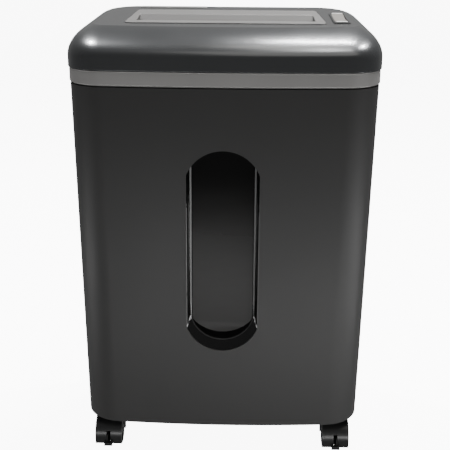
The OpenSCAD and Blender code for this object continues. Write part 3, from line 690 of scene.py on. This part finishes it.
def drawer_front():
    z0, z1 = panel_lo.z, panel_hi.z
    front = case_tube("case_front", z0, z1)
    extra = [flange("low", z0, 9 * mm), flange("high", z1 - flange_t, 9 * mm)]
    for side in (-1, 1):
        for z in boss_z:
            start = front_at(z) + bow_at(boss_x) + wall / 2
            extra.append(rod_y("boss", side * boss_x, start, bin_y0, z, 5 * mm))
    start = front_at(striker_z) + bow_at(striker_x) + wall / 2
    low = (striker_x - 5 * mm, start, striker_z - 3 * mm)
    extra.append(block("arm", low, (striker_x + 5 * mm, striker_y + 5 * mm, striker_z)))
    weld(front, *extra)
    rear = block("rear", (-1, seam_y - seam / 2, -1), (1, 1, 2))
    pane = window_outline(window_half, arch_r, arch_z0, arch_z1)
    hole = prism("hole", pane, lambda u, v, end: (u, -0.115 if end else -0.2, v))
    cut(front, rear, hole)
    return soften(front, 0.9 * mm, 3, angle=40)


case_front = drawer_front()
print("case_front", len(case_front.data.polygons), "faces")

# %% [markdown]
# The rest of the case is cut for the steel frame at its top, the cooling slots
# and the bush that the cord passes through.

# %% Cabinet
gland_x, gland_z, gland_r = -100 * mm, 463 * mm, 8 * mm
frame_half, frame_d = 141 * mm, 12 * mm


def cabinet():
    shell = case_tube("case_back", foot_z, split_z)
    weld(shell, flange("high", split_z - flange_t, 6 * mm))
    front = block("front", (-1, -1, -1), (1, seam_y + seam / 2, 2))
    room = block(
        "room",
        (-frame_half, case_half - wall - frame_d, split_z - 3 * mm),
        (frame_half, case_half - wall - 0.1 * mm, split_z + 1 * mm),
    )
    bush = rod_y("bush", gland_x, 0, 0.2, gland_z, gland_r)
    cut(shell, front, room, bars, bush)
    return soften(shell, 0.8 * mm, 2, angle=40)


case_back = cabinet()
print("case_back", len(case_back.data.polygons), "faces")

# %% [markdown]
# ## Band
# The silver band is a separate trim ring between case and lid. Its upper edge
# has a small step that catches the light, and dark joints run above and below.

# %% Band ring
def band():
    base, top = band_lo.z, band_hi.z
    profile = [
        (4.0, base),
        (0.4, base),
        (-0.5, base + 0.5 * mm),
        (-1.0, base + 1.4 * mm),
        (-1.0, top - 2.6 * mm),
        (-0.6, top - 2.2 * mm),
        (-0.6, top - 1.9 * mm),
        (-1.0, top - 1.5 * mm),
        (-1.0, top - 1.0 * mm),
        (-0.4, top - 0.4 * mm),
        (0.6, top),
        (4.0, top),
    ]
    ring = loft("band", [raised(case_plan(split_z, i * mm), z) for i, z in profile], closed=True)
    ledge = [(1.0, 3.0), (7.0, 3.0), (7.0, 5.5), (1.0, 5.5)]
    shelf = loft(
        "shelf",
        [raised(case_plan(split_z, i * mm), split_z + z * mm) for i, z in ledge],
        closed=True,
    )
    outward(shelf)
    outward(ring)
    weld(ring, shelf)
    return soften(ring, 0.25 * mm, 2, angle=40)


band_piece = band()
print("band", len(band_piece.data.polygons), "faces")

# %% [markdown]
# ## Lid
# The lid rises straight from the band, then rolls over along an ellipse that
# stops at a crease, where the sloping top begins. The rings follow that rule,
# and two close rings hold the crease crisp.

# %% Lid
def lid_outline(run, inset):
    """The lid's plan from its foot, at run 0, to the crease, at run 1. It narrows to the back."""
    outline = plan(
        lid_w - 2 * side_in * run - 2 * inset,
        lid_lo.y + front_in * run + inset,
        lid_hi.y - back_in * run - inset,
        front_r - 24 * mm * run - inset,
        rear_r - inset,
        bow_r,
    )
    narrow = run * top_taper / (lid_w / 2 - side_in) / lid_d
    return [(x * (1 - narrow * (y - lid_lo.y)), y) for x, y in outline]


def lid_ring(angle, inset):
    run = (1 - math.cos(angle)) / (1 - math.cos(crest))
    rise = math.sin(angle) / math.sin(crest)
    return [
        (x, y, shoulder_z + (top_z(y) - inset - shoulder_z) * rise)
        for x, y in lid_outline(run, inset)
    ]


def lid_foot(inset, z):
    outline = plan(
        lid_w - 2 * inset, lid_lo.y + inset, lid_hi.y - inset, front_r - inset, rear_r - inset, bow_r
    )
    return raised(outline, z)


def lid_top(margin):
    """A ring on the flat top, a little inside the crease."""
    return [(x, y, top_z(y)) for x, y in lid_outline(1.0, margin)]


def on_top(x, y):
    return Matrix.Translation((x, y, top_z(y))) @ Matrix.Rotation(top_slope, 4, "X")


def rounded(w, d, r, steps=6):
    corners = [(w / 2 - r, -d / 2 + r), (w / 2 - r, d / 2 - r)]
    corners += [(-w / 2 + r, d / 2 - r), (-w / 2 + r, -d / 2 + r)]
    quarter = math.pi / 2
    return [
        p
        for i, centre in enumerate(corners)
        for p in arc(centre, r, (i - 1) * quarter, i * quarter, steps)
    ]


throat_y = 5 * mm
throat_half, throat_taper, throat_d = 126 * mm, 6 * mm, 106 * mm


def throat_outline(grow=0.0, steps=8):
    r = 7 * mm
    fx, bx = throat_half - r, throat_half - throat_taper - r
    y = throat_d / 2 - r
    a = math.atan(throat_taper / (2 * y))
    quarter = math.pi / 2
    return (
        arc((fx, -y), r + grow, -quarter, a, steps)
        + arc((bx, y), r + grow, a, quarter, steps)
        + arc((-bx, y), r + grow, quarter, 2 * quarter - a, steps)
        + arc((-fx, -y), r + grow, 2 * quarter - a, 3 * quarter, steps)
    )


mouth_w, mouth_d = 236 * mm, 59 * mm
rocker_x, rocker_y = lid_w / 2 - side_in - 26 * mm, -1 * mm
bezel_w, bezel_l, bezel_gap = 21 * mm, 77.6 * mm, 0.4 * mm


def tilted(name, outline, at, low, high):
    place = on_top(*at)
    return prism(name, outline, lambda u, v, end: place @ Vector((u, v, high if end else low)))


def lid():
    steps = 20
    turns = [crest * i / steps for i in range(steps + 1)]
    inner = [lid_ring(t, wall) for t in reversed(turns)]
    outer = [lid_ring(t, 0.0) for t in turns]
    rings = inner + [lid_foot(wall, lid_z), lid_foot(0.9 * mm, lid_z)]
    rings += [lid_foot(0.25 * mm, lid_z + 0.3 * mm), lid_foot(0, lid_z + 1.1 * mm)]
    rings += outer + [lid_top(0.9 * mm), lid_top(4 * mm)]
    shell = loft("lid", rings)
    outward(shell)
    recess = tilted("recess", throat_outline(0.5 * mm), (0, throat_y), -wall / 2, wall)
    opening = rounded(mouth_w, mouth_d, 2 * mm)
    mouth = tilted("mouth", opening, (0, slot_y - 1.5 * mm), -wall * 2, wall)
    opening = rounded(bezel_w + 2 * bezel_gap, bezel_l + 2 * bezel_gap, 3.4 * mm)
    socket = tilted("socket", opening, (rocker_x, rocker_y), -wall * 2, wall)
    cut(shell, recess, mouth, socket)
    return soften(shell, 0.5 * mm, 2, angle=50, smooth=26)


lid_piece = lid()
print("lid", len(lid_piece.data.polygons), "faces")

# %% [markdown]
# ## Throat
# The light plate guides a sheet into the slot. A V groove with soft lips runs
# across it, and the slot is at the bottom of the V. The walls of the groove are
# darker and duller than the painted plate; the darker colour is painted shade.

# %% Throat plate
funnel_half, groove_half, slot_half = 116 * mm, 113 * mm, 111 * mm


def across(name, section, half, at):
    place = on_top(*at)
    return prism(name, section, lambda u, v, end: place @ Vector((half if end else -half, u, v)))


def throat():
    lip = 1 * mm
    plate = tilted("throat", throat_outline(), (0, throat_y), -wall / 2, lip)
    funnel = [(-30, 0), (-30, -3), (-6.5, -15), (6.5, -15), (27, -3), (27, 0)]
    body = across("funnel", [(y * mm, z * mm) for y, z in funnel], funnel_half, (0, slot_y))
    weld(plate, body)
    groove = [(-27.3, 1.2), (-3.5, -11), (3.5, -11), (24.3, 1.2)]
    valley = across("valley", [(y * mm, z * mm) for y, z in groove], groove_half, (0, slot_y))
    slot = [(-3.5, -16), (3.5, -16), (3.5, 0), (-3.5, 0)]
    gap = across("gap", [(y * mm, z * mm) for y, z in slot], slot_half, (0, slot_y))
    cut(plate, valley, gap)
    soften(plate, 0.8 * mm, 3, angle=18)
    plate.data.materials.clear()
    plate.data.materials.append(throat_paint)
    plate.data.materials.append(groove_painted_shade)
    for face in plate.data.polygons:
        # Faces below the plate's top get the groove's painted shade.
        inside = face.center.z < top_z(face.center.y) - 0.4 * mm
        face.material_index = 1 if inside else 0
    return plate


throat_piece = throat()
label_w, label_d, label_tall = 91 * mm, 13 * mm, 0.8 * mm
label_at = (-74 * mm, 85 * mm)
label_piece = tilted("label_strip", rounded(label_w, label_d, 2 * mm), label_at, 0, label_tall)
soften(label_piece, 0.3 * mm, 2, angle=50)
print("throat", len(throat_piece.data.polygons), "faces")

# %% [markdown]
# ## Mode switch
# A rocker lies in a slim bezel at the right of the throat. Its ends carry light
# raised bars, which show by feel which side is pressed. The rocker tips, so it
# rides its own body and the bezel stays on the lid.

# %% Switch
key_half, bar_half = 7.6 * mm, 6.9 * mm
bar_near, bar_far = 31.4 * mm, 34.9 * mm


def switch():
    bezel = from_node("switch_bezel", "bezel", 0.5 * mm, 3)
    end = 35.2
    side = [(-end, 1.4), (-end, -1.5), (-6, -8.5), (6, -8.5), (end, -1.5), (end, 1.4)]
    side += [(24, 1.0), (0, -0.3), (-24, 1.0)]
    key = across("rocker", [(y * mm, z * mm) for y, z in side], key_half, (rocker_x, rocker_y))
    soften(key, 0.6 * mm, 3, angle=30)
    bars = []
    for way in (-1, 1):
        near, far = sorted((way * bar_near, way * bar_far))
        section = [(near, 0.8 * mm), (far, 0.8 * mm), (far, 1.9 * mm), (near, 1.9 * mm)]
        bar = across("bar", section, bar_half, (rocker_x, rocker_y))
        soften(bar, 0.35 * mm, 2)
        bars.append(bar)
    return bezel, key, bars


def joined(name, pieces):
    """Several meshes as one object, with their materials kept."""
    bm = bmesh.new()
    kept = []
    for piece in pieces:
        base = len(kept)
        kept += list(piece.data.materials)
        count = len(bm.faces)
        bm.from_mesh(piece.data)
        bm.faces.ensure_lookup_table()
        for face in bm.faces[count:]:
            face.material_index = base + min(face.material_index, len(piece.data.materials) - 1)
    mesh = bpy.data.meshes.new(name)
    bm.to_mesh(mesh)
    bm.free()
    for material in kept:
        mesh.materials.append(material)
    whole = bpy.data.objects.new(name, mesh)
    bpy.context.scene.collection.objects.link(whole)
    for piece in pieces:
        bpy.data.objects.remove(piece, do_unlink=True)
    whole.data.set_sharp_from_angle(angle=math.radians(35))
    return whole


bezel_piece, key_piece, bar_pieces = switch()
key_piece.data.materials.append(rocker_satin)
for bar_piece in bar_pieces:
    bar_piece.data.materials.append(light_mark)
rocker_piece = joined("rocker", [key_piece, *bar_pieces])
print("rocker", len(rocker_piece.data.polygons), "faces")

# %% [markdown]
# ## Window
# Behind the opening sits one smoked moulding. Its glossy sides slant in to a
# narrow frosted edge, and the pane lies behind that edge. Below, the wall climbs
# in a crescent to the pane. Above, it carries on up behind the arch as the
# pocket that a hand pulls the drawer by.

# %% Window moulding
window_mid = (arch_z0 + arch_z1) / 2


def window_place(x, depth, z):
    """A point of the insert, which is drawn upright and then leans like the drawer front."""
    y = front_at(window_mid) + wall + bow_at(52 * mm) + 0.1 * mm
    tilt = math.atan(lean / (split_z - foot_z))
    turned = Matrix.Rotation(tilt, 3, "X") @ Vector((x, depth, z - window_mid))
    return turned + Vector((0, y, window_mid))


def window_ring(half, radius, bottom, depth, top, steps=44):
    centre = bottom + radius
    edge = math.acos(min(1.0, half / radius))
    start = centre - radius * math.sin(edge)
    ring = [(-half, top), (-half, start + (top - start) * 0.5)]
    ring += arc((0, centre), radius, math.pi + edge, 2 * math.pi - edge, steps)
    ring += [(half, start + (top - start) * 0.5), (half, top)]
    return [window_place(x, depth, z) for x, z in ring]


gloss, frosted, smoked, hollow = 0, 1, 2, 3
pull = 447.0
window_path = [
    # Sizes in millimetres. The top is where the pull's pocket ends.
    # half width, arc radius, bottom, depth, top, what the strip up to the next ring is
    (38.2, 50.0, 182.5, 12.0, pull, hollow),
    (38.7, 46.0, 178.5, 10.6, pull, hollow),
    (38.9, 42.0, 175.4, 9.4, pull, hollow),
    (39.0, 40.2, 174.2, 9.0, pull, frosted),
    (40.2, 41.0, 173.9, 8.2, pull, frosted),
    (41.2, 41.6, 173.0, 7.4, pull, gloss),
    (41.6, 42.2, 172.2, 7.0, pull, gloss),
    (43.4, 45.0, 167.6, 4.6, pull, gloss),
    (44.8, 47.6, 163.6, 0.5, pull, gloss),
    (45.4, 48.4, 162.6, 0.0, pull + 0.4, gloss),
    (52.0, 55.0, 156.0, 0.0, pull + 6, gloss),
    (52.0, 55.0, 156.0, 2.0, pull + 6, gloss),
    (47.0, 50.0, 161.0, 2.0, pull + 2, gloss),
    (41.0, 52.0, 176.0, 14.0, pull + 2, gloss),
]


def window_moulding():
    rings = [
        window_ring(half * mm, radius * mm, bottom * mm, depth * mm, top * mm)
        for half, radius, bottom, depth, top, _ in window_path
    ]
    piece = loft("window", rings)
    per_strip = len(rings[0])
    for index, strip in enumerate(window_path[:-1]):
        for face in range(index * per_strip, (index + 1) * per_strip):
            piece.data.polygons[face].material_index = strip[-1]
    caps = piece.data.polygons[-2:]
    caps[0].material_index = smoked
    outward(piece)
    for material in (moulding_gloss, frosted_edge, pane_gloss, hollow_shade_gloss):
        piece.data.materials.append(material)
    piece.data.shade_smooth()
    piece.data.set_sharp_from_angle(angle=math.radians(24))
    return piece


window_piece = window_moulding()
print("window", len(window_piece.data.polygons), "faces")

# %% [markdown]
# ## Screws
# A pan head with a cross recess is one small shape. Points on the back of the
# case and on the bin place it. Each body gets a mesh of its own, so the bin's
# screws slide out with the bin.

# %% Screw heads
def screw_recipe():
    recipe = Recipe("pan_screw", Head=6.8 * mm, Tall=1.3 * mm, Cross=0.9 * mm, Shank=3.2 * mm, Length=6 * mm)
    given = recipe.given
    head = recipe.node(
        "GeometryNodeMeshCylinder",
        None,
        {"Vertices": 20, "Radius": recipe.half(given["Head"]), "Depth": given["Tall"]},
    )[0]
    dome = recipe.node(
        "GeometryNodeMeshCone",
        None,
        {
            "Vertices": 20,
            "Radius Bottom": recipe.half(given["Head"]),
            "Radius Top": recipe.half(given["Shank"]),
            "Depth": recipe.half(given["Tall"]),
        },
    )[0]
    dome = recipe.node(
        "GeometryNodeTransform",
        None,
        {"Geometry": dome, "Translation": recipe.vector(z=recipe.half(given["Tall"]))},
    )[0]
    shank = recipe.node(
        "GeometryNodeMeshCylinder",
        None,
        {"Vertices": 12, "Radius": recipe.half(given["Shank"]), "Depth": given["Length"]},
    )[0]
    shank = recipe.node(
        "GeometryNodeTransform",
        None,
        {"Geometry": shank, "Translation": (0.0, 0.0, -3.2 * mm)},
    )[0]
    bar_size = {"Size": recipe.vector(given["Head"], given["Cross"], given["Tall"])}
    bar = recipe.node("GeometryNodeMeshCube", None, bar_size)[0]
    arm = {"Geometry": bar, "Translation": (0.0, 0.0, 1.5 * mm), "Scale": (0.62, 1.0, 1.0)}
    one = recipe.node("GeometryNodeTransform", None, arm)[0]
    two = recipe.node("GeometryNodeTransform", None, {**arm, "Rotation": (0.0, 0.0, math.pi / 2)})[0]
    solid = recipe.node("GeometryNodeMeshBoolean", {"operation": "UNION"})
    for part in (head, dome, shank):
        recipe.tree.links.new(part, solid[0].node.inputs["Mesh 2"])
    pan = recipe.node("GeometryNodeMeshBoolean", {"operation": "DIFFERENCE"}, {"Mesh 1": solid[0]})
    for part in (one, two):
        recipe.tree.links.new(part, pan[0].node.inputs["Mesh 2"])
    return recipe, pan[0]


def screws(name, places, turn):
    recipe, shape = screw_recipe()
    recipe.finish(shape, recipe.given["Geometry"], zinc_sheet, turn)
    return recipe.make(name, places)


def back_at(z):
    return case_half - lean * used_taper(z)


out_back, out_up = (-math.pi / 2, 0.0, 0.0), (0.0, 0.0, 0.0)
case_places = [
    (x * mm, back_at(z) + 0.8 * mm, z)
    for x in (-110, 110)
    for z in (foot_z + 12 * mm, split_z - 8 * mm)
]
tray_x = lid_w / 2 - 16 * mm
tray_places = [(side * tray_x, y * mm, split_z + 5.8 * mm) for side in (-1, 1) for y in (-60, 80)]
bin_places = [(side * boss_x, bin_y0 + 3.6 * mm, z) for side in (-1, 1) for z in boss_z]
back_screws = screws("back_screws", case_places, out_back)
tray_screws = screws("tray_screws", tray_places, out_up)
bin_screws = screws("bin_screws", bin_places, out_back)

# %% [markdown]
# ## Casters
# Each caster is a hood over two wheels. Its edges are the part that shines, so
# the soft-edged copies of the CAD solids get a wider bevel than the case.

# %% Casters and brakes
caster_parts = []
for corner in ("fl", "fr", "rl", "rr"):
    hood = from_node(f"caster_housing_{corner}", f"hood_{corner}", 1.0 * mm, 3)
    wheels = from_node(f"caster_wheels_{corner}", f"wheels_{corner}", 0.5 * mm, 2)
    caster_parts.append((hood, f"caster_{corner}", f"caster_housing_{corner}", caster_gloss, "caster"))
    caster_parts.append((wheels, f"wheels_{corner}", f"caster_wheels_{corner}", wheel_nylon, "wheel"))
for corner in ("fl", "fr"):
    lever = from_node(f"brake_lever_{corner}", f"toe_lever_{corner}", 0.6 * mm, 3)
    caster_parts.append((lever, f"brake_{corner}", f"brake_lever_{corner}", caster_gloss, "caster"))
print("caster pieces", len(caster_parts))

# %% [markdown]
# ## Bin
# The bin keeps its CAD walls with softened rims.

# %% Waste bin
bin_piece = from_node("waste_bucket", "bin", 0.7 * mm, 2)
print("bin", len(bin_piece.data.polygons), "faces")

# %% [markdown]
# ## Finish and ride
# Each rebuilt piece takes its material, rides the body that moves it and stands
# for its CAD node. The CAD nodes that stay in view get a finish of their own.

# %% Dress and attach
def attach(piece, body, nodes, material):
    if not len(piece.data.materials):
        piece.data.materials.append(material)
    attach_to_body(piece, body)
    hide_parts(*([nodes] if isinstance(nodes, str) else nodes))


attach(case_front, "drawer", "front_panel", case_grain)
attach(case_back, "chassis", "cabinet_shell", case_grain)
attach(band_piece, "chassis", "band_ring", band_paint)
attach(lid_piece, "chassis", "head_cover", lid_paint)
attach(throat_piece, "chassis", "throat_plate", throat_paint)
attach(label_piece, "chassis", "label_plate", brushed_label)
attach(bezel_piece, "chassis", "switch_bezel", lid_paint)
attach(rocker_piece, "rocker", "mode_rocker", rocker_satin)
attach(window_piece, "drawer", "window_insert", pane_gloss)
attach(bin_piece, "drawer", "waste_bucket", bin_moulding)
attach(back_screws, "chassis", "case_screws", zinc_sheet)
attach(bin_screws, "drawer", "panel_screws", zinc_sheet)
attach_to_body(tray_screws, "chassis")
for piece, body, node, material, slot in caster_parts:
    attach(piece, body, node, material)

node_finish = {
    "base_plate": base_moulding,
    "bin_rails": black_moulding,
    "top_frame": zinc_sheet,
    "head_tray": black_moulding,
    "feed_guides": zinc_sheet,
    "side_plate_left": zinc_sheet,
    "side_plate_right": zinc_sheet,
    "tie_rods": ground_steel,
    "shaft_bushes": sintered_bronze,
    "comb_front": comb_moulding,
    "comb_rear": comb_moulding,
    "motor_stator": motor_lacquer,
    "motor_brackets": zinc_sheet,
    "gear_studs": ground_steel,
    "gear_plate": zinc_sheet,
    "control_board": board_green,
    "safety_switch": black_moulding,
    "cord_gland": black_moulding,
    "caster_stems": ground_steel,
    "interlock_plunger": natural_nylon,
    "sensor_lever": black_moulding,
    "cutter_shaft_a": ground_steel,
    "cutter_shaft_b": ground_steel,
    "cutter_discs_a": ground_steel,
    "cutter_discs_b": ground_steel,
    "timing_gear_a": ground_steel,
    "timing_gear_b": ground_steel,
    "drive_gear": natural_nylon,
    "idler_gear_1": natural_nylon,
    "idler_gear_2": natural_nylon,
    "motor_rotor": copper_winding,
    "motor_pinion": ground_steel,
    "cooling_fan": black_moulding,
}
for corner in ("fl", "fr", "rl", "rr"):
    node_finish[f"caster_axle_{corner}"] = ground_steel
for node, material in node_finish.items():
    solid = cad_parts[node]
    if not len(solid.material_slots):
        solid.data.materials.append(material)
    for place in solid.material_slots:
        place.material = material
left = [n for n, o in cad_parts.items() if n not in node_finish and not o.hide_render]
print("CAD nodes dressed", len(node_finish), "left over", left)

# %% [markdown]
# ## Studio
# A pale floor, one dome of even light and ten boxes of light. The slim one high
# behind the lid draws the streak along its shoulder, and the two small ones at
# the sides draw its bright ends. Three low boxes brighten the foot of the case.

# %% Floor and lights
def studio_floor():
    r = floor_half
    floor = new_piece("studio_floor", [(-r, -r, 0), (r, -r, 0), (r, r, 0), (-r, r, 0)], [(0, 1, 2, 3)])
    paper = Finish("studio_paper", Emission_Color=(1.0, 1.0, 1.0, 1.0), Emission_Strength=floor_glow)
    fibre = paper.noise(4 * mm, 2.0, 0.6)
    paper.colour(paper.mix(fibre, tone(0.86), tone(0.90)))
    paper.roughness(fibre * 0.1 + 0.75)
    floor.data.materials.append(paper.material)
    floor.visible_diffuse = False
    floor.visible_glossy = False


def soft_box(name, place, aim, width, height, power, colour=(1.0, 1.0, 1.0)):
    light = bpy.data.lights.new(name, "AREA")
    light.shape = "RECTANGLE"
    light.size, light.size_y = width, height
    light.energy = power
    light.color = colour
    box = bpy.data.objects.new(name, light)
    bpy.context.scene.collection.objects.link(box)
    box.location = place
    box.rotation_euler = (Vector(aim) - Vector(place)).to_track_quat("-Z", "Y").to_euler()


floor_half = 30
floor_glow = 9.0
dome_light = 0.26
warm_white = (1.0, 0.97, 0.92)
studio_floor()
world = bpy.data.worlds.new("studio_dome")
world.use_nodes = True
world.node_tree.nodes["Background"].inputs["Color"].default_value = (1.0, 1.0, 1.0, 1.0)
world.node_tree.nodes["Background"].inputs["Strength"].default_value = dome_light
bpy.context.scene.world = world
soft_box("tube_behind", (0.38, 0.84, 2.20), (0.1, -0.1, 0.55), 0.42, 0.07, 40)
soft_box("ceiling", (0.30, 0.14, 2.35), (0.0, 0.0, 0.55), 0.90, 0.45, 6, warm_white)
soft_box("ceiling_front", (0.40, -0.75, 2.20), (0.0, 0.0, 0.55), 1.20, 1.10, 7, warm_white)
soft_box("tube_above", (0.40, -0.08, 2.25), (0.1, -0.1, 0.55), 0.45, 0.05, 4)
soft_box("corner_left", (-0.84, 0.66, 2.20), (-0.15, -0.1, 0.55), 0.12, 0.12, 40)
soft_box("corner_right", (1.03, 0.58, 2.20), (0.16, -0.1, 0.55), 0.12, 0.12, 40)
soft_box("back_glow", (0.0, 2.60, 1.60), (0.0, 0.0, 0.58), 3.00, 0.90, 1.2, warm_white)
soft_box("left_low", (-0.80, -0.20, 0.03), (-0.17, -0.1, 0.12), 0.50, 0.10, 1.2)
soft_box("right_low", (0.80, -0.25, 0.03), (0.17, -0.1, 0.20), 0.50, 0.10, 2.0)
soft_box("low_front", (0.15, -0.60, 0.02), (0.0, 0.0, 0.12), 1.3, 0.10, 3.0)

# %% [markdown]
# ## Camera
# The camera stands a little above the lid, looks down at about 16 degrees and
# turns slightly to one side.

# %% Camera
def aim_camera():
    azimuth, elevation, roll = (math.radians(v) for v in (1.1778, 16.196, 0.4064))
    distance = 1.2050
    target = Vector((0.00012, 0.0, 0.33165))
    back = Vector(
        (
            math.sin(azimuth) * math.cos(elevation),
            -math.cos(azimuth) * math.cos(elevation),
            math.sin(elevation),
        )
    )
    right = Vector((math.cos(azimuth), math.sin(azimuth), 0))
    up = back.cross(right)
    x = right * math.cos(roll) + up * math.sin(roll)
    y = up * math.cos(roll) - right * math.sin(roll)
    lens = bpy.data.cameras.new("view")
    lens.sensor_width = 36
    lens.lens = 70.359
    lens.shift_y = -0.06
    camera = bpy.data.objects.new("view", lens)
    bpy.context.scene.collection.objects.link(camera)
    turn = Matrix((x, y, back)).transposed().to_4x4()
    camera.matrix_world = Matrix.Translation(target + back * distance) @ turn
    bpy.context.scene.camera = camera
    return camera


camera = aim_camera()
print("camera at", [round(v, 4) for v in camera.matrix_world.translation])
